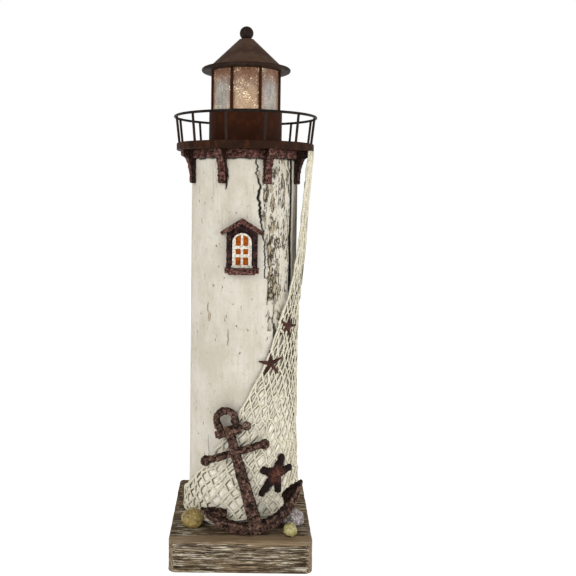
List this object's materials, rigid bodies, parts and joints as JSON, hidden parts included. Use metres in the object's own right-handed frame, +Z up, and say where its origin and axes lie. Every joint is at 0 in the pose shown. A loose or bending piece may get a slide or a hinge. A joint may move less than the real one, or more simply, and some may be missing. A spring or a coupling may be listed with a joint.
{
  "type": "wooden lighthouse figurine",
  "caption": "Free-standing wooden lighthouse ornament with a railed gallery, lit lantern, leaning anchor, draped net and starfish on a board base",
  "frame": {"origin": "on the axis of the round post, in the plane of the base's underside", "axes": "+Z up along the post; the window and the anchor face -Y; +X is to the right seen from the front"},
  "size_m": [0.1404, 0.1442, 0.5026],
  "materials": {
    "weathered_wood": "weathered, grooved",
    "cream_wood": "cream paint, peeling",
    "red_brown_wood": "red-brown stain, pitted",
    "dark_brown_wood": "dark brown stain, satin",
    "dark_iron": "dark brown paint, satin",
    "brown_tinplate": "brown patina paint",
    "dark_bead": "dark brown gloss paint",
    "lantern_glass": "frosted with glitter, warm",
    "sash_paint": "white paint",
    "amber_pane": "glossy amber",
    "rusty_iron": "rusted, pitted",
    "starfish": "brown, rough",
    "olive_stone": "smooth pebble",
    "grey_stone": "smooth pebble",
    "net_cord": "off-white twisted cord",
    "black_plastic": "fine texture",
    "cell_case": "plain wrap, bare ends",
    "contact_metal": "plated",
    "knob_plastic": "smooth",
    "cable_jacket": "smooth jacket",
    "lamp_plastic": "smooth",
    "warm_lamp": "clear warm dome",
    "screw_steel": "plain"
  },
  "bodies": {
    "lighthouse": {"base_block": "weathered_wood", "tower_post": "cream_wood", "tower_collar": "red_brown_wood", "corbel_1": "red_brown_wood", "corbel_2": "red_brown_wood", "corbel_3": "red_brown_wood", "corbel_4": "red_brown_wood", "corbel_5": "red_brown_wood", "corbel_6": "red_brown_wood", "corbel_7": "red_brown_wood", "corbel_8": "red_brown_wood", "gallery_deck": "dark_brown_wood", "baluster_01": "dark_iron", "baluster_02": "dark_iron", "baluster_03": "dark_iron", "baluster_04": "dark_iron", "baluster_05": "dark_iron", "baluster_06": "dark_iron", "baluster_07": "dark_iron", "baluster_08": "dark_iron", "baluster_09": "dark_iron", "baluster_10": "dark_iron", "baluster_11": "dark_iron", "baluster_12": "dark_iron", "handrail": "dark_iron", "lantern_drum": "brown_tinplate", "lantern_glass": "lantern_glass", "lantern_bars": "brown_tinplate", "roof_brim": "dark_brown_wood", "roof_cone": "brown_tinplate", "finial": "dark_bead", "window_casing": "red_brown_wood", "window_hood": "red_brown_wood", "window_sill": "red_brown_wood", "window_sash": "sash_paint", "window_panes": "amber_pane", "anchor_body": "rusty_iron", "anchor_stock": "rusty_iron", "anchor_shackle": "rusty_iron", "anchor_pin": "rusty_iron", "starfish_large": "starfish", "starfish_middle": "starfish", "starfish_small": "starfish", "stone_left": "olive_stone", "stone_right": "grey_stone", "stone_small": "olive_stone", "fishing_net": "net_cord", "battery_box": "black_plastic", "batteries": "cell_case", "battery_contacts": "contact_metal", "switch_body": "contact_metal", "led_cable": "cable_jacket", "led_holder": "lamp_plastic", "led_lamp": "warm_lamp", "tower_screws": "screw_steel", "box_screws": "screw_steel"},
    "door": {"battery_door": "black_plastic"},
    "knob": {"switch_knob": "knob_plastic"}
  },
  "joints": [
    {"name": "door_hinge", "type": "hinge", "parent": "lighthouse", "child": "door", "pos_m": [-0.0342, -0.041, 0.003], "axis": [0, 1, 0], "range_deg": [0, 100]},
    {"name": "switch_slide", "type": "slide", "parent": "lighthouse", "child": "knob", "axis": [0, 1, 0], "range_m": [0, 0.004]}
  ]
}
